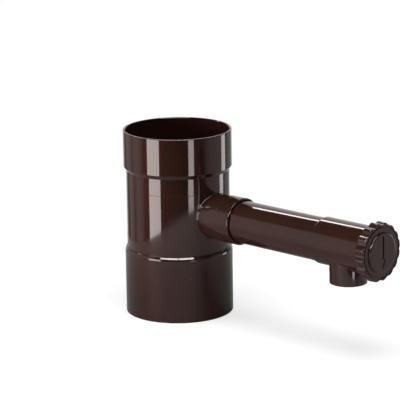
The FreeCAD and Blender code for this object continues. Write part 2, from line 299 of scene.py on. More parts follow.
@dataclass(frozen=True)
class Branch:
    """A round branch that leaves a round tube squarely, with a fillet outside and its bore inside.

    Args:
        tube_r: The tube's outer radius.
        tube_bore_r: The tube's inner radius.
        branch_r: The branch's outer radius beside the tube.
        bore_r: The branch's inner radius.
        fillet: The radius of the rolling ball that shapes the outer fillet.
        line: The branch's end as (distance from the tube's axis, radius), from outside to the bore.
        half_columns: How many of the tube's columns the window spans to each side of the branch.
        window_rows: How many rows of faces the window spans.
        outer_reach: How far the outer window goes each way along the tube, (back, ahead).
        inner_reach: The same for the inner window.
    """

    tube_r: float
    tube_bore_r: float
    branch_r: float
    bore_r: float
    fillet: float
    line: np.ndarray
    half_columns: int
    window_rows: int
    outer_reach: tuple[float, float]
    inner_reach: tuple[float, float]

    def window_edge(self, reach: tuple[float, float], column_angle: float) -> tuple[np.ndarray, np.ndarray]:
        """The window's edge, once round.

        Args:
            reach: How far the window goes along the tube, (back, ahead).
            column_angle: The angle between two of the tube's columns.

        Returns:
            The edge's angles about the tube, and its distances along it.
        """
        angles = np.arange(-self.half_columns, self.half_columns + 1) * column_angle
        heights = np.linspace(reach[0], reach[1], self.window_rows + 1)
        angle = np.concatenate([
            angles,
            np.full(self.window_rows, angles[-1]),
            angles[-2::-1],
            np.full(self.window_rows - 1, angles[0]),
        ])
        along = np.concatenate([
            np.full(len(angles), heights[0]),
            heights[1:],
            np.full(len(angles) - 1, heights[-1]),
            heights[-2:0:-1],
        ])
        return angle, along

    def grid(self, column_angle: float) -> np.ndarray:
        """Rows from the outer window's edge, over the branch and down its bore, to the inner window.

        A column keeps one angle t about the branch's axis. The rolling ball's centre is at branch_r +
        fillet from the branch's axis and tube_r + fillet from the tube's, so its depth is the root of
        (tube_r + fillet) squared less its side offset squared. It touches each round face on the line
        from its centre square to that face's axis, and the fillet's points turn from one touch to the
        other. The bore meets the inside of the tube at the root of tube_bore_r squared less the side
        offset squared.

        Args:
            column_angle: The angle between two of the tube's columns.

        Returns:
            Points (depth from the tube's axis, side offset, distance along the tube).
        """
        edge_angle, edge_along = self.window_edge(self.outer_reach, column_angle)
        inner_angle, inner_along = self.window_edge(self.inner_reach, column_angle)
        turn = np.arctan2(edge_along, self.tube_r * np.sin(edge_angle))
        cos, sin = np.cos(turn), np.sin(turn)

        ball_side = (self.branch_r + self.fillet) * cos
        ball_along = (self.branch_r + self.fillet) * sin
        ball_depth = np.sqrt((self.tube_r + self.fillet) ** 2 - ball_side ** 2)
        ball = np.stack([ball_depth, ball_side, ball_along], axis=-1)
        touch_angle = np.arcsin(ball_side / (self.tube_r + self.fillet))

        share = np.array(OUTER_SHARES)[:, None]
        outer_angle = edge_angle + share * (touch_angle - edge_angle)
        outer_along = edge_along + share * (ball_along - edge_along)
        outer_patch = self.on_tube(self.tube_r, outer_angle, outer_along)

        on_branch = np.stack([ball_depth, self.branch_r * cos, self.branch_r * sin], axis=-1)
        first = outer_patch[-1] - ball
        last = on_branch - ball
        sweep = np.arccos(np.clip((first * last).sum(-1) / self.fillet ** 2, -1, 1))
        part = np.linspace(0, 1, 2 * ROUND_STEPS + 1)[1:, None]
        fillet = ball + (
            (np.sin((1 - part) * sweep) / np.sin(sweep))[..., None] * first
            + (np.sin(part * sweep) / np.sin(sweep))[..., None] * last
        )

        run = np.array(OUTSIDE_SHARES)[:, None]
        outside_depth = ball_depth + run * (self.line[0, 0] - ball_depth)
        outside = self.about_branch(outside_depth, self.branch_r, turn)
        end = self.about_branch(self.line[:, :1], self.line[:, 1:], turn)

        mouth_depth = np.sqrt(self.tube_bore_r ** 2 - (self.bore_r * cos) ** 2)
        bore_run = np.array(BORE_SHARES)[:, None]
        bore_depth = self.line[-1, 0] + bore_run * (mouth_depth - self.line[-1, 0])
        bore = self.about_branch(bore_depth, self.bore_r, turn)

        mouth_angle = np.arcsin(self.bore_r * cos / self.tube_bore_r)
        back = np.linspace(0, 1, INNER_ROWS + 1)[1:, None]
        inner_patch = self.on_tube(
            self.tube_bore_r,
            mouth_angle + back * (inner_angle - mouth_angle),
            self.bore_r * sin + back * (inner_along - self.bore_r * sin),
        )
        return np.concatenate([outer_patch, fillet, outside, end, bore, inner_patch])

    @staticmethod
    def on_tube(radius: float, angle: np.ndarray, along: np.ndarray) -> np.ndarray:
        """Points on a round tube: depth and side offset are its radius times cosine and sine."""
        return np.stack([radius * np.cos(angle), radius * np.sin(angle), along], axis=-1)

    @staticmethod
    def about_branch(depth: np.ndarray, radius: np.ndarray, turn: np.ndarray) -> np.ndarray:
        """Points about the branch's axis: side and along are its radius times cosine and sine."""
        depth, radius, turn = np.broadcast_arrays(depth, radius, turn)
        return np.stack([depth, radius * np.cos(turn), radius * np.sin(turn)], axis=-1)


def window_faces(
    line: np.ndarray, columns: int, half_columns: int, spans: Sequence[tuple[float, float, float]],
) -> np.ndarray:
    """Marks the faces of a turned grid that a branch's two windows take out.

    Args:
        line: The tube's profile, (along, out) a row.
        columns: How many columns the grid has.
        half_columns: How many columns each window spans to each side.
        spans: For each window its lowest and highest point along the tube, and the tube's radius there.

    Returns:
        True for each face to leave out, by row and column.
    """
    after = np.roll(line, -1, axis=0)
    rows = np.zeros(len(line), bool)
    for low, high, radius in spans:
        on_wall = (abs(line[:, 1] - radius) < WELD) & (abs(after[:, 1] - radius) < WELD)
        middle = (line[:, 0] + after[:, 0]) / 2
        rows |= on_wall & (middle > low) & (middle < high)
    cols = (np.arange(columns) < half_columns) | (np.arange(columns) >= columns - half_columns)
    return rows[:, None] & cols[None, :]


def even_rows(line: np.ndarray, low: float, high: float, radius: float, count: int) -> np.ndarray:
    """The profile with the stretch between two stations on one wall cut into even rows.

    Args:
        line: The profile, (along, out) a row, with a point at each of the two stations.
        low: The first station.
        high: The second station.
        radius: The wall's radius.
        count: How many rows of faces lie between the stations.

    Returns:
        The profile with its points between the stations replaced.
    """
    on_wall = abs(line[:, 1] - radius) < WELD
    inside = on_wall & (line[:, 0] > low + WELD) & (line[:, 0] < high - WELD)
    ends = np.flatnonzero(on_wall & ((abs(line[:, 0] - low) < WELD) | (abs(line[:, 0] - high) < WELD)))
    first, last = int(ends[0]), int(ends[-1])
    heights = np.linspace(line[first, 0], line[last, 0], count + 1)[1:-1]
    middle = np.stack([heights, np.full(count - 1, radius)], axis=-1)
    kept = line[~inside]
    place = first + 1 - int(inside[:first].sum())
    return np.concatenate([kept[:place], middle, kept[place:]])


class Nodes:
    """A short way to write a material's nodes."""

    def __init__(self, tree: bpy.types.NodeTree) -> None:
        """Keeps the tree and empties it."""
        self.tree = tree
        tree.nodes.clear()

    def add(self, kind: str, **settings: object) -> bpy.types.Node:
        """Adds a node and sets its properties.

        Args:
            kind: The node's type.
            settings: Its properties by name.

        Returns:
            The node.
        """
        node = self.tree.nodes.new(kind)
        for name, value in settings.items():
            setattr(node, name, value)
        return node

    def put(self, socket: Socket, value: object) -> None:
        """Links a socket to another, or sets its value.

        Args:
            socket: The socket that takes the value.
            value: Another socket, a number, a triple or a colour.
        """
        if isinstance(value, Socket):
            self.tree.links.new(value, socket)
        else:
            socket.default_value = value

    def fill(self, kind: str, *values: object, **settings: object) -> bpy.types.Node:
        """Adds a node and fills its first sockets in order.

        Args:
            kind: The node's type.
            values: What its sockets take.
            settings: Its properties by name.

        Returns:
            The node.
        """
        node = self.add(kind, **settings)
        for socket, value in zip(node.inputs, values):
            self.put(socket, value)
        return node

    def math(self, operation: str, *values: object) -> Socket:
        """The result of one arithmetic step on sockets or numbers."""
        return self.fill("ShaderNodeMath", *values, operation=operation).outputs[0]

    def vector(self, operation: str, *values: object) -> bpy.types.Node:
        """The node of one vector step on sockets or triples."""
        return self.fill("ShaderNodeVectorMath", *values, operation=operation)

    def smooth(
        self, value: object, low: float, high: float, to_low: float = 0.0, to_high: float = 1.0,
    ) -> Socket:
        """Turns a range into a soft step.

        Args:
            value: The socket to turn.
            low: The range's low end.
            high: The range's high end.
            to_low: What the low end becomes.
            to_high: What the high end becomes.

        Returns:
            The result's socket.
        """
        node = self.add("ShaderNodeMapRange", interpolation_type="SMOOTHSTEP")
        names = ("Value", "From Min", "From Max", "To Min", "To Max")
        for name, number in zip(names, (value, low, high, to_low, to_high)):
            self.put(node.inputs[name], number)
        return node.outputs["Result"]

    def noise(self, vector: object, size: float, detail: float = 2.0) -> Socket:
        """Soft noise.

        Args:
            vector: Where the noise is read.
            size: About how large its features are, in metres.
            detail: How many finer layers lie on it.

        Returns:
            The noise's socket.
        """
        node = self.add("ShaderNodeTexNoise")
        self.put(node.inputs["Vector"], vector)
        node.inputs["Scale"].default_value = 1 / size
        node.inputs["Detail"].default_value = detail
        return node.outputs["Fac"]

    def mix_colour(self, factor: object, first: object, second: object) -> Socket:
        """Blends two colours.

        The mix node has sockets for each kind of data, and these are the numbers of the colours'.

        Args:
            factor: The second colour's share.
            first: The first colour.
            second: The second colour.

        Returns:
            The blend's socket.
        """
        node = self.add("ShaderNodeMix", data_type="RGBA")
        self.put(node.inputs["Factor"], factor)
        for number, colour in ((6, first), (7, second)):
            self.put(node.inputs[number], colour)
        return node.outputs[2]

    def surface(self) -> bpy.types.Node:
        """Adds the general shader and links it to the material's surface."""
        shader = self.add("ShaderNodeBsdfPrincipled")
        self.fill("ShaderNodeOutputMaterial", shader.outputs[0])
        return shader


@dataclass(frozen=True)
class MouldedPlastic:
    """Dark brown moulded plastic, with the slight unevenness and handling marks of the real one.

    Args:
        name: The material's name.
        colour: The plastic's own colour.
        tint: The colour of its slightly redder patches.
        gloss_tint: The slight warmth of what it mirrors.
        roughness: How rough the gloss is where it is cleanest.
        haze: How much rougher the gloss is in its cloudy patches.
        orange_peel: The height of the fine waviness of the surface, in metres.
        sink: The height of the broad unevenness, in metres.
        specks: How thickly dust specks lie, from 0 to 1.
        ior: The plastic's index of refraction.
        patch_size: About how large the redder patches are.
        patch_range: The noise between which a patch goes from none to full.
        cloud_size: About how large the cloudy patches are.
        cloud_range: The noise between which a cloud goes from none to full.
        sink_size: About how wide the broad unevenness is.
        peel_size: About how wide the fine waviness is.
        speck_spacing: How far apart the places lie where a speck may be.
        speck_edge: Where a speck's soft edge begins and ends, as shares of that spacing.
        speck_share: The share of those places that have a speck where specks is 1.
        speck_colour: The specks' colour.
        speck_roughness: How rough the specks are.
    """

    name: str
    colour: tuple[float, float, float] = (0.0262, 0.0102, 0.0075)
    tint: tuple[float, float, float] = (0.0300, 0.0106, 0.0073)
    gloss_tint: tuple[float, float, float] = (1.0, 0.88, 0.86)
    roughness: float = 0.06
    haze: float = 0.05
    orange_peel: float = 0.0000012
    sink: float = 0.00001
    specks: float = 0.5
    ior: float = 1.5
    patch_size: float = 0.03
    patch_range: tuple[float, float] = (0.35, 0.7)
    cloud_size: float = 0.012
    cloud_range: tuple[float, float] = (0.5, 0.75)
    sink_size: float = 0.018
    peel_size: float = 0.0016
    speck_spacing: float = 0.016
    speck_edge: tuple[float, float] = (0.02, 0.045)
    speck_share: float = 0.3
    speck_colour: tuple[float, float, float] = (0.32, 0.27, 0.24)
    speck_roughness: float = 0.6

    def make(self) -> bpy.types.Material:
        """Builds the material's nodes.

        Returns:
            The material.
        """
        material = bpy.data.materials.new(self.name)
        material.use_nodes = True
        nodes = Nodes(material.node_tree)
        shader = nodes.surface()
        here = nodes.add("ShaderNodeTexCoord").outputs["Object"]

        patches = nodes.smooth(nodes.noise(here, self.patch_size), *self.patch_range)
        colour = nodes.mix_colour(patches, (*self.colour, 1), (*self.tint, 1))
        speck = self.speck_mask(nodes, here)
        speckled = nodes.mix_colour(speck, colour, (*self.speck_colour, 1))
        nodes.put(shader.inputs["Base Color"], speckled)

        cloud = nodes.smooth(nodes.noise(here, self.cloud_size, detail=4.0), *self.cloud_range)
        rough = nodes.math("MULTIPLY_ADD", cloud, self.haze, self.roughness)
        speck_rough = nodes.math("MULTIPLY", speck, self.speck_roughness)
        nodes.put(shader.inputs["Roughness"], nodes.math("MAXIMUM", rough, speck_rough))
        shader.inputs["IOR"].default_value = self.ior
        shader.inputs["Specular Tint"].default_value = (*self.gloss_tint, 1)

        broad = nodes.math("MULTIPLY", nodes.noise(here, self.sink_size, detail=1.0), self.sink)
        fine = nodes.math("MULTIPLY", nodes.noise(here, self.peel_size), self.orange_peel)
        height = self.relief(nodes, here, nodes.math("ADD", broad, fine))
        bump = nodes.add("ShaderNodeBump")
        bump.inputs["Strength"].default_value = 1.0
        bump.inputs["Distance"].default_value = 1.0
        nodes.put(bump.inputs["Height"], height)
        nodes.put(shader.inputs["Normal"], bump.outputs[0])
        return material

    def speck_mask(self, nodes: Nodes, here: Socket) -> Socket:
        """Small pale dust specks: round spots about a few of the points of a scattered set.

        Args:
            nodes: The material's nodes.
            here: The place on the piece.

        Returns:
            A socket that is 1 in a speck and 0 elsewhere, with a soft edge.
        """
        cells = nodes.add("ShaderNodeTexVoronoi", feature="F1")
        nodes.put(cells.inputs["Vector"], here)
        cells.inputs["Scale"].default_value = 1 / self.speck_spacing
        near = nodes.smooth(cells.outputs["Distance"], *self.speck_edge, 1.0, 0.0)
        chosen = nodes.add("ShaderNodeSeparateColor")
        nodes.put(chosen.inputs[0], cells.outputs["Color"])
        few = nodes.math("LESS_THAN", chosen.outputs[0], self.specks * self.speck_share)
        return nodes.math("MULTIPLY", near, few)

    def relief(self, nodes: Nodes, here: Socket, ground: Socket) -> Socket:
        """The surface's height with the marks of one piece alone, of which most pieces have none."""
        return ground


@dataclass(frozen=True)
class PartedPlastic(MouldedPlastic):
    """The body's plastic, with the mould's parting line round the barrel at one height.

    Args:
        parting_height: The line's height.
        parting_width: The line's width.
        parting_step: How far the surface above the line stands out from that below it.
    """

    parting_height: float = 0.0997
    parting_width: float = 0.0004
    parting_step: float = 0.00002

    def relief(self, nodes: Nodes, here: Socket, ground: Socket) -> Socket:
        """Adds a small soft step in height at the parting line.

        Args:
            nodes: The material's nodes.
            here: The place on the piece.
            ground: The surface's height without the step.

        Returns:
            The height with the step.
        """
        split = nodes.add("ShaderNodeSeparateXYZ")
        nodes.put(split.inputs[0], here)
        low = self.parting_height - self.parting_width / 2
        step = nodes.smooth(split.outputs["Z"], low, low + self.parting_width, 0.0, self.parting_step)
        return nodes.math("ADD", ground, step)


@dataclass(frozen=True)
class GreasedRubber:
    """Black rubber of the valve's seals, with a thin film of grease.

    Args:
        name: The material's name.
        colour: The rubber's own colour.
        grease_colour: Its colour where the film is thickest.
        film_size: About how large the film's patches are.
        film_range: The noise between which the gloss goes from its clearest to its dullest.
        roughness: How rough the gloss is at its clearest and at its dullest.
    """

    name: str = "greased_rubber"
    colour: tuple[float, float, float] = (0.02, 0.02, 0.02)
    grease_colour: tuple[float, float, float] = (0.03, 0.03, 0.03)
    film_size: float = 0.002
    film_range: tuple[float, float] = (0.3, 0.7)
    roughness: tuple[float, float] = (0.25, 0.5)

    def make(self) -> bpy.types.Material:
        """Builds the material's nodes.

        Returns:
            The material.
        """
        material = bpy.data.materials.new(self.name)
        material.use_nodes = True
        nodes = Nodes(material.node_tree)
        shader = nodes.surface()
        here = nodes.add("ShaderNodeTexCoord").outputs["Object"]
        film = nodes.noise(here, self.film_size)
        colour = nodes.mix_colour(film, (*self.colour, 1), (*self.grease_colour, 1))
        nodes.put(shader.inputs["Base Color"], colour)
        nodes.put(shader.inputs["Roughness"], nodes.smooth(film, *self.film_range, *self.roughness))
        return material


def turned_piece(
    name: str, line: np.ndarray, columns: int, place: Callable[..., np.ndarray],
) -> bpy.types.Object:
    """Turns a closed section once round an axis and closes it into a piece.

    Args:
        name: The piece's name.
        line: The section, (along, out) a row.
        columns: How many columns the turned grid has.
        place: What puts distances along and out at angles about the axis.

    Returns:
        The piece.
    """
    shell = Shell(name)
    shell.add_grid(place(line[:, :1], line[:, 1:], even_angles(columns)[None, :]), True, True)
    return shell.finish()


def dress(
    piece: bpy.types.Object, material: bpy.types.Material, slot: Slot, body: Body, *nodes: str,
) -> None:
    """Gives a new piece its finish, its body and the construction nodes that it stands for.

    Args:
        piece: The new piece.
        material: Its finish.
        slot: Not used.
        body: The body that it rides on.
        nodes: The nodes that it stands for.
    """
    piece.data.materials.append(material)
    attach(piece, body.value)
    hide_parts(*nodes)


def carry_over(node: str, material: bpy.types.Material, slot: Slot) -> None:
    """Keeps a node's own shape and gives it a better finish.

    Args:
        node: The construction node.
        material: Its finish.
        slot: Not used.
    """
    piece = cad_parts[node]
    piece.data.materials.clear()
    piece.data.materials.append(material)
    log.info("%s: kept, with %s", node, material.name)


@dataclass(frozen=True)
class DiverterBody:
    """The moulded body: collar, barrel and side socket in one piece."""

    columns: int = 256
    socket_bore_r: float = 0.0402
    barrel_r: float = 0.040
    barrel_bore_r: float = 0.0376
    taper_foot: float = 0.1128
    taper_head: float = 0.1158
    socket_lead: float = 0.0005
    edge_round: float = 0.0003
    rim_round: float = 0.0005
    arm_height: float = ARM_HEIGHT
    neck_r: float = 0.0174
    neck_start: float = 0.0417
    neck_end: float = 0.0425
    shoulder_end: float = 0.0545
    shoulder_round: float = 0.020
    side_r: float = 0.0181
    side_bore_r: float = 0.01625
    side_round: float = 0.0008
    side_lead: float = 0.0006
    stop_x: float = 0.0482
    arm_bore_r: float = 0.0150
    fillet: float = 0.0008
    bore_line_end: float = 0.0390
    window_half: float = 0.0210
    half_columns: int = 26
    window_rows: int = 40

    def build(self) -> bpy.types.Object:
        """Joins the turned barrel and collar to the side socket through a window in their wall.

        Returns:
            The body as one closed piece.
        """
        low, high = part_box("body")
        collar_r, foot, top, side_end = high.y, low.z, high.z, high.x
        window_low = self.arm_height - self.window_half
        window_high = self.arm_height + self.window_half
        line = profile_line([
            Corner(foot, self.barrel_bore_r),
            Corner(foot, self.barrel_r, self.edge_round),
            Corner(window_low, self.barrel_r),
            Corner(window_high, self.barrel_r),
            Corner(self.taper_foot, self.barrel_r, self.edge_round),
            Corner(self.taper_head, collar_r, self.rim_round),
            Corner(top, collar_r, self.rim_round),
            Corner(top, self.socket_bore_r + self.socket_lead),
            Corner(top - self.socket_lead, self.socket_bore_r),
            Corner(self.taper_head, self.socket_bore_r),
            Corner(self.taper_head, self.barrel_bore_r),
            Corner(window_high, self.barrel_bore_r),
            Corner(window_low, self.barrel_bore_r),
        ])
        for radius in (self.barrel_r, self.barrel_bore_r):
            line = even_rows(line, window_low, window_high, radius, self.window_rows)
        spans = [(window_low, window_high, radius) for radius in (self.barrel_r, self.barrel_bore_r)]
        shell = Shell("body_moulding")
        tube = about_downpipe(line[:, :1], line[:, 1:], even_angles(self.columns)[None, :])
        shell.add_grid(tube, True, True, window_faces(line, self.columns, self.half_columns, spans))

        side_line = profile_line([
            Corner(self.neck_start, self.neck_r),
            Corner(self.neck_end, self.neck_r, self.shoulder_round),
            Corner(self.shoulder_end, self.side_r, self.shoulder_round),
            Corner(side_end, self.side_r, self.side_round),
            Corner(side_end, self.side_bore_r + self.side_lead),
            Corner(side_end - self.side_lead, self.side_bore_r),
            Corner(self.stop_x, self.side_bore_r),
            Corner(self.stop_x, self.arm_bore_r),
            Corner(self.bore_line_end, self.arm_bore_r),
        ], closed=False)
        branch = Branch(
            tube_r=self.barrel_r,
            tube_bore_r=self.barrel_bore_r,
            branch_r=self.neck_r,
            bore_r=self.arm_bore_r,
            fillet=self.fillet,
            line=side_line,
            half_columns=self.half_columns,
            window_rows=self.window_rows,
            outer_reach=(-self.window_half, self.window_half),
            inner_reach=(-self.window_half, self.window_half),
        )
        grid = branch.grid(2 * math.pi / self.columns)
        placed = np.stack([grid[..., 0], grid[..., 1], self.arm_height + grid[..., 2]], axis=-1)
        shell.add_grid(placed, False, True)
        return shell.finish()

    def dress(self, piece: bpy.types.Object, finish: PartedPlastic) -> None:
        """Gives the body its finish."""
        dress(piece, finish.make(), Slot.OUTSIDE, Body.DIVERTER, "body")


@dataclass(frozen=True)
class LowerCoupler:
    """The sleeve on the barrel's lower end, with its long lead chamfer."""

    columns: int = 256
    socket_bore_r: float = 0.0402
    seat_bore_r: float = 0.04005
    stop_low: float = 0.025
    stop_high: float = 0.027
    stop_bore_r: float = 0.0378
    lead_deg: float = 23.3
    lead_round: float = 0.0047
    lead_flat: float = 0.0011
    nose_round: float = 0.0005
    lip: float = 0.00035
    arc_points: int = 9
    rim_round: float = 0.0005
    edge_round: float = 0.0003

    def lead_in(self, top: float, sleeve_r: float) -> list[Corner]:
        """Corners of the lead-in at the sleeve's upper edge: long rounding, short flat, nose and lip.

        An arc of radius r that has turned by n from the upright has come in by r (1 - cos n) and up by
        r sin n. The first arc turns to the flat's slope, and the nose turns on until it is level. The
        lip is a small upright step above the nose.

        Args:
            top: The height of the sleeve's upper edge.
            sleeve_r: The sleeve's outer radius.

        Returns:
            The corners from the wall to the upper edge.
        """
        slope = math.radians(self.lead_deg)
        first = np.linspace(0, slope, self.arc_points)
        nose = np.linspace(slope, math.pi / 2, self.arc_points)
        nose_turn = np.stack([np.sin(nose) - np.sin(slope), np.cos(slope) - np.cos(nose)], axis=-1)
        run = np.concatenate([
            np.stack([np.sin(first), 1 - np.cos(first)], axis=-1) * self.lead_round,
            nose_turn * self.nose_round,
        ])
        flat = self.lead_flat * np.array([math.cos(slope), math.sin(slope)])
        run[self.arc_points:] += run[self.arc_points - 1] + flat
        foot = top - self.lip - run[-1, 0]
        corners = [Corner(foot + up, sleeve_r - inward) for up, inward in run]
        return [*corners, Corner(top, corners[-1].out, self.lip / 4)]

    def build(self) -> bpy.types.Object:
        """Turns the sleeve's closed section round the downpipe's axis.

        Returns:
            The sleeve.
        """
        low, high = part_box("lower_coupler")
        line = profile_line([
            Corner(low.z, self.socket_bore_r, self.edge_round),
            Corner(low.z, high.y, self.rim_round),
            *self.lead_in(high.z, high.y),
            Corner(high.z, self.seat_bore_r),
            Corner(self.stop_high, self.seat_bore_r),
            Corner(self.stop_high, self.stop_bore_r),
            Corner(self.stop_low, self.stop_bore_r),
            Corner(self.stop_low, self.socket_bore_r),
        ])
        return turned_piece("coupler_sleeve", line, self.columns, about_downpipe)

    def dress(self, piece: bpy.types.Object, finish: MouldedPlastic) -> None:
        """Gives the sleeve its finish."""
        dress(piece, finish.make(), Slot.OUTSIDE, Body.DIVERTER, "lower_coupler")


@dataclass(frozen=True)
class CollectorRing:
    """The trough inside the barrel, with its weir, floor and skirt."""

    columns: int = 192
    weir_bore_r: float = 0.0270
    weir_r: float = 0.0292
    floor_top: float = 0.0654
    floor_low: float = 0.0632
    skirt_bore_r: float = 0.03565
    edge_round: float = 0.0003
    rim_round: float = 0.0005

    def build(self) -> bpy.types.Object:
        """Turns the trough's closed section round the downpipe's axis.

        Returns:
            The trough with its weir and skirt.
        """
        low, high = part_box("collector_ring")
        line = profile_line([
            Corner(self.floor_low, self.weir_bore_r, self.edge_round),
            Corner(self.floor_low, self.skirt_bore_r),
            Corner(low.z, self.skirt_bore_r),
            Corner(low.z, high.y),
            Corner(self.floor_top, high.y),
            Corner(self.floor_top, self.weir_r),
            Corner(high.z, self.weir_r, self.rim_round),
            Corner(high.z, self.weir_bore_r, self.rim_round),
        ])
        return turned_piece("collector_trough", line, self.columns, about_downpipe)

    def dress(self, piece: bpy.types.Object, finish: MouldedPlastic) -> None:
        """Gives the trough its finish."""
        dress(piece, finish.make(), Slot.INSIDE, Body.DIVERTER, "collector_ring")


@dataclass(frozen=True)
class ArmPipe:
    """The plain pipe between the side socket and the outlet tee."""

    columns: int = 192
    bore_r: float = 0.0150
    edge_round: float = 0.0003

    def build(self) -> bpy.types.Object:
        """Turns the pipe's wall round the arm's axis.

        Returns:
            The pipe.
        """
        low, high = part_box("arm_pipe")
        axis = ArmAxis((low.z + high.z) / 2)
        line = profile_line([
            Corner(low.x, self.bore_r),
            Corner(low.x, high.y, self.edge_round),
            Corner(high.x, high.y, self.edge_round),
            Corner(high.x, self.bore_r),
        ])
        return turned_piece("side_pipe", line, self.columns, axis.turn)

    def dress(self, piece: bpy.types.Object, finish: MouldedPlastic) -> None:
        """Gives the pipe its finish."""
        dress(piece, finish.make(), Slot.OUTSIDE, Body.DIVERTER, "arm_pipe")


@dataclass(frozen=True)
class OutletTee:
    """The end fitting: thin mouth over the pipe, valve chamber and the spout that points down."""

    columns: int = 192
    arm_height: float = ARM_HEIGHT
    socket_bore_r: float = 0.01625
    mouth_lip: float = 0.00008
    mouth_length: float = 0.0068
    mouth_round: float = 0.0007
    tube_r: float = 0.0175
    pipe_stop_x: float = 0.1565
    chamber_x: float = 0.1580
    stop_bore_r: float = 0.0150
    chamber_r: float = 0.0162
    rib_width: float = 0.0014
    edge_round: float = 0.0003
    spout_x: float = 0.1718
    spout_r: float = 0.0139
    spout_root_r: float = 0.0141
    spout_bore_r: float = 0.0118
    spout_grip: float = 0.0090
    fillet: float = 0.0008
    bore_line_end: float = 0.0170
    outer_half: float = 0.0169
    inner_back: float = 0.0130
    half_columns: int = 32
    window_rows: int = 34

    def build(self) -> bpy.types.Object:
        """Joins the turned chamber to the spout through a window in its wall.

        Returns:
            The fitting as one closed piece.
        """
        low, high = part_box("outlet_tee")
        axis = ArmAxis(self.arm_height)
        outer = (self.spout_x - self.outer_half, self.spout_x + self.outer_half)
        inner = (self.spout_x - self.inner_back, self.spout_x + self.outer_half)
        line = profile_line([
            Corner(low.x, self.socket_bore_r),
            Corner(low.x, self.socket_bore_r + self.mouth_lip),
            Corner(low.x + self.mouth_length, self.socket_bore_r + self.mouth_lip),
            Corner(low.x + self.mouth_length, self.tube_r, self.mouth_round),
            Corner(outer[0], self.tube_r),
            Corner(outer[1], self.tube_r),
            Corner(high.x - self.rib_width, self.tube_r),
            Corner(high.x - self.rib_width, high.y),
            Corner(high.x, high.y, self.edge_round),
            Corner(high.x, self.chamber_r),
            Corner(inner[1], self.chamber_r),
            Corner(inner[0], self.chamber_r),
            Corner(self.chamber_x, self.chamber_r),
            Corner(self.chamber_x, self.stop_bore_r),
            Corner(self.pipe_stop_x, self.stop_bore_r),
            Corner(self.pipe_stop_x, self.socket_bore_r),
        ])
        line = even_rows(line, *outer, self.tube_r, self.window_rows)
        line = even_rows(line, *inner, self.chamber_r, self.window_rows)
        spans = [(*outer, self.tube_r), (*inner, self.chamber_r)]
        shell = Shell("outlet_fitting")
        tube = axis.turn(line[:, :1], line[:, 1:], even_angles(self.columns)[None, :])
        shell.add_grid(tube, True, True, window_faces(line, self.columns, self.half_columns, spans))

        spout_end = self.arm_height - low.z
        stop = spout_end - self.spout_grip
        spout_line = profile_line([
            Corner(stop, self.spout_root_r),
            Corner(stop, self.spout_r),
            Corner(spout_end, self.spout_r, self.edge_round),
            Corner(spout_end, self.spout_bore_r, self.edge_round),
            Corner(self.bore_line_end, self.spout_bore_r),
        ], closed=False)
        branch = Branch(
            tube_r=self.tube_r,
            tube_bore_r=self.chamber_r,
            branch_r=self.spout_root_r,
            bore_r=self.spout_bore_r,
            fillet=self.fillet,
            line=spout_line,
            half_columns=self.half_columns,
            window_rows=self.window_rows,
            outer_reach=(-self.outer_half, self.outer_half),
            inner_reach=(-self.inner_back, self.outer_half),
        )
        grid = branch.grid(2 * math.pi / self.columns)
        along, height = self.spout_x + grid[..., 2], self.arm_height - grid[..., 0]
        placed = np.stack([along, grid[..., 1], height], axis=-1)
        shell.add_grid(placed, False, True)
        return shell.finish()

    def dress(self, piece: bpy.types.Object, finish: MouldedPlastic) -> None:
        """Gives the fitting its finish."""
        dress(piece, finish.make(), Slot.OUTSIDE, Body.DIVERTER, "outlet_tee")


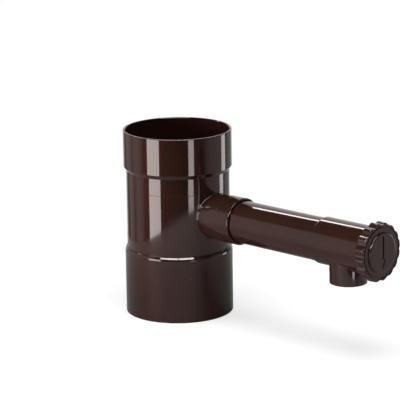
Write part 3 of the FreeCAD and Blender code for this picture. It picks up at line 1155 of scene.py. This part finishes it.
@dataclass(frozen=True)
class ValveKnob:
    """The fluted cap with its raised face and the arrow sunk in it."""

    columns: int = 432
    arm_height: float = ARM_HEIGHT
    ridge_r: float = 0.0221
    flutes: int = 16
    flute_depth: float = 0.0017
    first_ridge_deg: float = 8.5
    back_x: float = 0.1956
    front_x: float = 0.2028
    front_draw: float = 0.0003
    front_round: float = 0.0013
    back_round: float = 0.0004
    groove_r: float = 0.0192
    groove_width: float = 0.0010
    groove_depth: float = 0.0008
    boss_foot_r: float = 0.0150
    boss_top_r: float = 0.0148
    boss_round: float = 0.0010
    edge_round: float = 0.0003
    face_wall: float = 0.0016
    bead_r: float = 0.0178
    bead_end_x: float = 0.1976
    cavity_r: float = 0.0193
    cavity_x: float = 0.2012
    hub_r: float = 0.0148
    hub_bore_r: float = 0.0135
    hub_x: float = 0.1894
    arrow_depth: float = 0.0006
    arrow_top: float = 0.0124
    arrow_tip: float = -0.0123
    head_length: float = 0.0074
    head_width: float = 0.0072
    shaft_width: float = 0.0022
    arrow_round: float = 0.00015

    def build(self) -> bpy.types.Object:
        """Turns the cap's section, presses the flutes into its skirt and sinks the arrow in its face.

        Returns:
            The cap as one closed piece.
        """
        face_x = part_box("valve_knob")[1].x
        line = profile_line([
            Corner(face_x, self.boss_top_r - 2 * self.boss_round),
            Corner(face_x, self.boss_top_r, self.boss_round),
            Corner(self.front_x, self.boss_foot_r),
            Corner(self.front_x, self.groove_r - self.groove_width / 2),
            Corner(self.front_x - self.groove_depth, self.groove_r - self.groove_width / 2),
            Corner(self.front_x - self.groove_depth, self.groove_r + self.groove_width / 2),
            Corner(self.front_x, self.groove_r + self.groove_width / 2),
            Corner(self.front_x, self.ridge_r - self.front_draw, self.front_round),
            Corner(self.back_x, self.ridge_r, self.back_round),
            Corner(self.back_x, self.bead_r),
            Corner(self.bead_end_x, self.bead_r),
            Corner(self.bead_end_x, self.cavity_r),
            Corner(self.cavity_x, self.cavity_r),
            Corner(self.cavity_x, self.hub_r),
            Corner(self.hub_x, self.hub_r),
            Corner(self.hub_x, self.hub_bore_r),
            Corner(face_x - self.face_wall, self.hub_bore_r),
            Corner(face_x - self.face_wall, 0.0),
        ], closed=False, spacing=0.002)
        angles = even_angles(self.columns)
        # The flutes press in only what lies outside the cavity's wall, so the insides stay round.
        out = np.minimum(line[:, 1:], self.fluted_radius(line[:, :1], angles[None, :]))
        out = np.where(line[:, 1:] > self.cavity_r + self.edge_round, out, line[:, 1:])
        axis = ArmAxis(self.arm_height)
        shell = Shell("valve_cap")
        shell.add_grid(axis.turn(line[:, :1], out, angles[None, :]), False, True)
        self.add_face(shell, axis.turn(line[0, 0], line[0, 1], angles), face_x)
        return shell.finish()

    def fluted_radius(self, along: np.ndarray, angle: np.ndarray) -> np.ndarray:
        """The skirt's radius: one smooth wave a flute, from the ridges in by the flutes' depth.

        The ridges themselves draw in evenly from the skirt's back edge to its front.

        Args:
            along: Distances along the arm.
            angle: Angles about the arm's axis, zero straight down.

        Returns:
            The radius at each distance and angle.
        """
        from_side = angle - math.pi / 2 - math.radians(self.first_ridge_deg)
        share = (along - self.back_x) / (self.front_x - self.back_x)
        wave = (1 - np.cos(self.flutes * from_side)) / 2
        return self.ridge_r - self.front_draw * share - self.flute_depth * wave

    def arrow_outline(self) -> np.ndarray:
        """The arrow's outline, with slightly rounded corners.

        Returns:
            Its points as (y, height above the axis), one a row.
        """
        head_top = self.arrow_tip + self.head_length
        half_shaft, half_head = self.shaft_width / 2, self.head_width / 2
        return profile_line([
            Corner(half_shaft, self.arrow_top, self.arrow_round),
            Corner(half_shaft, head_top, self.arrow_round),
            Corner(half_head, head_top, self.arrow_round),
            Corner(0.0, self.arrow_tip, self.arrow_round),
            Corner(-half_head, head_top, self.arrow_round),
            Corner(-half_shaft, head_top, self.arrow_round),
            Corner(-half_shaft, self.arrow_top, self.arrow_round),
        ], spacing=0.003)

    def add_face(self, shell: Shell, rim: np.ndarray, face_x: float) -> None:
        """Closes the boss with a flat face round the arrow, the arrow's walls and its floor.

        The face and the floor are cut into triangles whose edges follow the arrow's outline. A
        triangle belongs to the floor if its middle lies within the arrow, and to the face if not.

        Args:
            shell: The cap's shell.
            rim: The ring of points where the flat face begins.
            face_x: Where the face lies along the arm.
        """
        arrow = self.arrow_outline()
        outer = rim[:, 1:] - np.array([0.0, self.arm_height])
        flat = np.concatenate([outer, arrow])
        rim_ring, arrow_ring = list(range(len(outer))), list(range(len(outer), len(flat)))
        levels = (([rim_ring, arrow_ring], 0.0, False), ([arrow_ring], self.arrow_depth, True))
        for rings, depth, keep_inside in levels:
            edges = [(ring[i - 1], ring[i]) for ring in rings for i in range(len(ring))]
            spots, _, faces, _, _, _ = delaunay_2d_cdt([Vector(p) for p in flat], edges, [], 0, SNAP)
            spots = np.array(spots)
            middles = np.array([spots[list(face)].mean(axis=0) for face in faces])
            inside = self.within_arrow(middles)
            on_boss = np.hypot(middles[:, 0], middles[:, 1]) < np.hypot(*outer[0])
            chosen = [face for face, hit, on in zip(faces, inside, on_boss) if on and hit == keep_inside]
            points = np.stack([
                np.full(len(spots), face_x - depth), spots[:, 0], self.arm_height + spots[:, 1],
            ], axis=-1)
            shell.add_faces(points, chosen)
        along = np.array([face_x, face_x - self.arrow_depth])[:, None]
        walls = np.broadcast_arrays(along, arrow[:, 0], self.arm_height + arrow[:, 1])
        shell.add_grid(np.stack(walls, axis=-1), False, True)

    def within_arrow(self, spots: np.ndarray) -> np.ndarray:
        """Tells which spots lie in the arrow's shaft or in its tapering head.

        Args:
            spots: Places on the face as (y, height above the axis), one a row.

        Returns:
            True for each spot within the arrow.
        """
        side, height = abs(spots[:, 0]), spots[:, 1]
        head_top = self.arrow_tip + self.head_length
        shaft = (side < self.shaft_width / 2) & (height >= head_top) & (height < self.arrow_top)
        half_width = self.head_width / 2 * (height - self.arrow_tip) / self.head_length
        head = (height < head_top) & (height > self.arrow_tip) & (side < half_width)
        return shaft | head

    def dress(self, piece: bpy.types.Object, finish: MouldedPlastic) -> None:
        """Gives the cap its finish."""
        dress(piece, finish.make(), Slot.OUTSIDE, Body.KNOB, "valve_knob")


@dataclass(frozen=True)
class ValvePlug:
    """The turning tube inside the outlet tee, with its two seals, which keep their own shapes."""

    def dress(self, finish: MouldedPlastic, rubber: GreasedRubber) -> None:
        """Gives the plug and the seals their finishes."""
        carry_over("valve_plug", finish.make(), Slot.INSIDE)
        seal = rubber.make()
        carry_over("seal_inner", seal, Slot.SEAL)
        carry_over("seal_outer", seal, Slot.SEAL)


@dataclass(frozen=True)
class Camera:
    """The camera at the photograph's place.

    Args:
        round_deg: Its direction round the upright axis from +X.
        above_deg: How far it stands above the horizon.
        distance: How far it is from its target.
        focal: Its focal length, in millimetres.
        sensor: Its sensor's width, in millimetres.
        roll_deg: How far it is rolled.
        shift_right: How far its target is to the right of the downpipe's axis.
        shift_up: How far its target is up from the mid height, across the view.
        mid_height: The mid height of the object.
        nearest: The nearest that it sees.
        furthest: The furthest that it sees.
    """

    round_deg: float = CAMERA_DEG
    above_deg: float = 14.153
    distance: float = 1.80367
    focal: float = 208.902
    sensor: float = 36.0
    roll_deg: float = -0.82
    shift_right: float = 0.01685
    shift_up: float = 0.01456
    mid_height: float = 0.072
    nearest: float = 0.1
    furthest: float = 20.0

    def axes(self) -> tuple[np.ndarray, np.ndarray, np.ndarray]:
        """The camera's own directions before the roll.

        Returns:
            Unit vectors to its right, up and back.
        """
        back = direction(self.round_deg, self.above_deg)
        right = direction(self.round_deg + 90.0, 0.0)
        return right, np.cross(back, right), back

    def build(self) -> bpy.types.Object:
        """Makes the camera and sets it as the scene's.

        Returns:
            The camera.
        """
        right, up, back = self.axes()
        target = np.array([0.0, 0.0, self.mid_height]) + right * self.shift_right + up * self.shift_up
        roll = math.radians(self.roll_deg)
        rolled_right = math.cos(roll) * right + math.sin(roll) * up
        rolled_up = math.cos(roll) * up - math.sin(roll) * right
        data = bpy.data.cameras.new("photo_camera")
        data.lens = self.focal
        data.sensor_width = self.sensor
        data.clip_start, data.clip_end = self.nearest, self.furthest
        camera = bpy.data.objects.new("photo_camera", data)
        pose = Matrix.Identity(4)
        for column, vector in enumerate((rolled_right, rolled_up, back, target + back * self.distance)):
            for row in range(3):
                pose[row][column] = vector[row]
        camera.matrix_world = pose
        bpy.context.scene.collection.objects.link(camera)
        bpy.context.scene.camera = camera
        return camera


@dataclass(frozen=True)
class Softbox:
    """One flat lamp, placed by its direction from the object as the camera sees it.

    Args:
        name: The lamp's name.
        side_deg: Its direction round from the camera, positive to the camera's right.
        rise_deg: Its direction above the table.
        width: Its width.
        height: Its height.
        radiance: How bright its face is, where 1 is white.
        fills: Whether it lights matt surfaces. A tube or strip may only add its own reflection.
        mirrored: Whether it shows in glossy surfaces. A hidden lamp only fills.
        distance: How far it is from the object's middle.
    """

    name: str
    side_deg: float
    rise_deg: float
    width: float
    height: float
    radiance: float
    fills: bool = True
    mirrored: bool = True
    distance: float = 1.5

    def build(self, camera_deg: float, middle: Vector) -> bpy.types.Object:
        """Makes the lamp, turned to the object's middle.

        Blender spreads a lamp's power so that its face's radiance is the power over 4 times its area.

        Args:
            camera_deg: The camera's direction round the upright axis.
            middle: The object's middle.

        Returns:
            The lamp.
        """
        away = Vector(direction(camera_deg + self.side_deg, self.rise_deg))
        data = bpy.data.lights.new(self.name, "AREA")
        data.shape = "RECTANGLE"
        data.size, data.size_y = self.width, self.height
        data.energy = 4.0 * self.width * self.height * self.radiance
        lamp = bpy.data.objects.new(self.name, data)
        facing = away.to_track_quat("Z", "Y").to_matrix().to_4x4()
        lamp.matrix_world = Matrix.Translation(middle + away * self.distance) @ facing
        lamp.visible_camera = False
        lamp.visible_diffuse = self.fills
        lamp.visible_glossy = self.mirrored
        bpy.context.scene.collection.objects.link(lamp)
        return lamp


@dataclass(frozen=True)
class Glow:
    """A soft bright patch of the room.

    Args:
        side_deg: Its direction round from the camera, positive to the camera's right.
        rise_deg: Its direction above the table.
        inner_deg: The angle from its middle within which it is evenly bright.
        outer_deg: The angle from its middle past which it ends.
        radiance: How bright it is, where 1 is white.
    """

    side_deg: float
    rise_deg: float
    inner_deg: float
    outer_deg: float
    radiance: float


@dataclass(frozen=True)
class Studio:
    """The pale round table, the dark room with its soft lamps, and the white background.

    Args:
        table_r: The table's radius.
        table_x: The table's centre along the arm.
        table_y: The table's centre across the arm.
        table_drop: How far its top lies under the object.
        table_columns: How many sides its rim has.
        table_rings: How many rings of points it has.
        middle_height: How high the lamps' aim is.
        camera_deg: The camera's direction round the upright axis.
        dark: How bright the room is between its bright patches.
        fade_from: How far from the table's centre it begins to fade to white for the camera.
        fade_to: Where it is all white.
        shade_share: How light the part of the table's tone is that takes shadow.
        lift: How light the part is that takes none.
        painted_shade_tone: The table's tone under the object, darker than at its rim as painted shade.
        far_tone: Its tone at its rim, past the painted shade.
        near_reach: How far from the downpipe's axis the first tone goes.
        far_reach: Where the second begins.
        fill_tone: Its real tone to the matt surfaces that it fills.
        table_roughness: How rough its gloss is.
        lamps: The lamps.
        glows: The room's bright patches.
    """

    table_r: float = 0.316
    table_x: float = 0.075
    table_y: float = 0.010
    table_drop: float = 0.00005
    table_columns: int = 128
    table_rings: int = 9
    middle_height: float = 0.07
    camera_deg: float = CAMERA_DEG
    dark: float = 0.04
    fade_from: float = 0.20
    fade_to: float = 0.30
    shade_share: float = 0.5
    lift: float = 0.675
    painted_shade_tone: float = 0.36
    far_tone: float = 0.75
    near_reach: float = 0.10
    far_reach: float = 0.32
    fill_tone: tuple[float, float, float] = (0.75, 0.55, 0.50)
    table_roughness: float = 0.55
    lamps: tuple[Softbox, ...] = (
        Softbox("left_strip", -55.0, -2.0, 0.72, 0.82, 6.8, fills=False),
        Softbox("left_fill", -80.0, -3.0, 1.0, 0.9, 9.6, mirrored=False),
        Softbox("right_strip", 27.5, -9.0, 0.31, 0.42, 5.0),
        Softbox("far_right_strip", 115.0, -6.0, 0.36, 0.583, 3.2),
        Softbox("overhead_box", 0.0, 77.0, 0.95, 0.95, 4.2),
        Softbox("front_tube_left", -25.4, 31.5, 0.95, 0.22, 17.0, fills=False),
        Softbox("front_tube_right", 14.7, 31.5, 0.80, 0.22, 17.0, fills=False),
        Softbox("rear_tube", -160.0, 44.0, 1.4, 0.12, 9.0, fills=False),
    )
    glows: tuple[Glow, ...] = (
        Glow(-96.0, 7.0, 19.0, 29.0, 0.62),
        Glow(-126.0, 7.0, 18.0, 29.0, 0.52),
        Glow(-64.0, 12.0, 6.0, 18.0, 1.2),
        Glow(180.0, 10.0, 20.0, 45.0, 1.0),
        Glow(60.0, 0.0, 20.0, 50.0, 0.15),
        Glow(90.0, -10.0, 12.0, 38.0, 0.52),
        Glow(108.0, -12.0, 4.0, 15.0, 0.5),
        Glow(142.0, -12.0, 10.0, 26.0, 0.4),
    )

    def build(self) -> None:
        """Makes the table, the lamps and the room."""
        middle = Vector((self.table_x, self.table_y, self.middle_height))
        for lamp in self.lamps:
            lamp.build(self.camera_deg, middle)
        self.build_table()
        self.build_room()
        log.info("studio: %d lamps", len(self.lamps))

    def build_table(self) -> None:
        """Makes the round table as a disc just under the object."""
        angles = even_angles(self.table_columns)
        radii = np.linspace(0.0, self.table_r, self.table_rings)[:, None]
        along = self.table_x + radii * np.cos(angles)
        across = self.table_y + radii * np.sin(angles)
        disc = np.stack(np.broadcast_arrays(along, across, -self.table_drop), axis=-1)
        shell = Shell("round_table")
        shell.add_grid(disc, False, True)
        table = shell.finish()
        if table.data.polygons[0].normal.z < 0:
            table.data.flip_normals()
        table.data.materials.append(self.table_material())

    def table_material(self) -> bpy.types.Material:
        """The table's slightly glossy finish, which fades to white for the camera.

        To the camera it is an evenly lit tone plus a share that takes the object's shadow, and it is
        all white further out. To all else it is a pale surface with painted shade: its colour is darker
        under the object, where the shade falls.

        Returns:
            The material.
        """
        material = bpy.data.materials.new("white_table")
        material.use_nodes = True
        nodes = Nodes(material.node_tree)
        here = nodes.add("ShaderNodeTexCoord").outputs["Object"]
        real = nodes.add("ShaderNodeBsdfPrincipled")
        path = nodes.add("ShaderNodeLightPath")
        offset = nodes.vector("SUBTRACT", here, (self.table_x, self.table_y, 0.0))
        distance = nodes.vector("LENGTH", offset.outputs[0]).outputs["Value"]
        reach = nodes.vector("LENGTH", here).outputs["Value"]
        # Painted shade: the colour that glossy rays see goes darker towards the downpipe, standing in for
        # the shade under the object.
        mirrored = nodes.smooth(reach, self.near_reach, self.far_reach, self.painted_shade_tone, self.far_tone)
        tone = nodes.mix_colour(path.outputs["Is Diffuse Ray"], mirrored, (*self.fill_tone, 1))
        nodes.put(real.inputs["Base Color"], tone)
        real.inputs["Roughness"].default_value = self.table_roughness

        white = nodes.add("ShaderNodeEmission")
        white.inputs["Strength"].default_value = 1.0
        shaded = nodes.add("ShaderNodeBsdfDiffuse")
        shaded.inputs["Color"].default_value = (self.shade_share,) * 3 + (1,)
        lift = nodes.add("ShaderNodeEmission")
        lift.inputs["Strength"].default_value = self.lift
        floor = nodes.fill("ShaderNodeAddShader", shaded.outputs[0], lift.outputs[0])
        faded = nodes.smooth(distance, self.fade_from, self.fade_to)
        fade = nodes.fill("ShaderNodeMixShader", faded, floor.outputs[0], white.outputs[0])

        is_camera = path.outputs["Is Camera Ray"]
        to_camera = nodes.fill("ShaderNodeMixShader", is_camera, real.outputs[0], fade.outputs[0])
        nodes.fill("ShaderNodeOutputMaterial", to_camera.outputs[0])
        return material

    def build_room(self) -> None:
        """The world: white to the camera, and to everything else a dark room with soft bright patches.

        A patch's brightness is a soft step of the cosine between the ray and the patch's direction.
        """
        world = bpy.data.worlds.new("dark_room")
        bpy.context.scene.world = world
        world.use_nodes = True
        nodes = Nodes(world.node_tree)
        ray = nodes.add("ShaderNodeTexCoord").outputs["Generated"]
        total = self.dark
        for glow in self.glows:
            way = direction(self.camera_deg + glow.side_deg, glow.rise_deg)
            cosine = nodes.vector("DOT_PRODUCT", ray, tuple(way)).outputs["Value"]
            outer, inner = (math.cos(math.radians(edge)) for edge in (glow.outer_deg, glow.inner_deg))
            patch = nodes.smooth(cosine, outer, inner, 0.0, glow.radiance)
            total = nodes.math("MAXIMUM", total, patch)
        camera_ray = nodes.add("ShaderNodeLightPath").outputs["Is Camera Ray"]
        strength = nodes.math("MAXIMUM", camera_ray, total)
        background = nodes.fill("ShaderNodeBackground", (1, 1, 1, 1), strength)
        nodes.fill("ShaderNodeOutputWorld", background.outputs[0])


def main() -> None:
    """Builds the object's pieces in order, then the camera and the studio."""
    logging.basicConfig(level=logging.INFO, format="%(name)s %(message)s")
    bpy.context.scene.view_settings.view_transform = "Standard"

    body = DiverterBody()
    body.dress(body.build(), PartedPlastic("body_plastic"))
    coupler = LowerCoupler()
    coupler.dress(coupler.build(), MouldedPlastic("coupler_plastic"))
    ring = CollectorRing()
    ring.dress(ring.build(), MouldedPlastic("trough_plastic", roughness=0.18, specks=0.2))
    pipe = ArmPipe()
    pipe.dress(pipe.build(), MouldedPlastic("pipe_plastic", sink=0.000004))
    tee = OutletTee()
    tee.dress(tee.build(), MouldedPlastic("tee_plastic", sink=0.00003, orange_peel=0.0000025))
    knob = ValveKnob()
    knob.dress(knob.build(), MouldedPlastic("knob_plastic", roughness=0.16))
    ValvePlug().dress(MouldedPlastic("plug_plastic", roughness=0.2, specks=0.0), GreasedRubber())

    Camera().build()
    Studio().build()


if __name__ == "__main__":
    main()
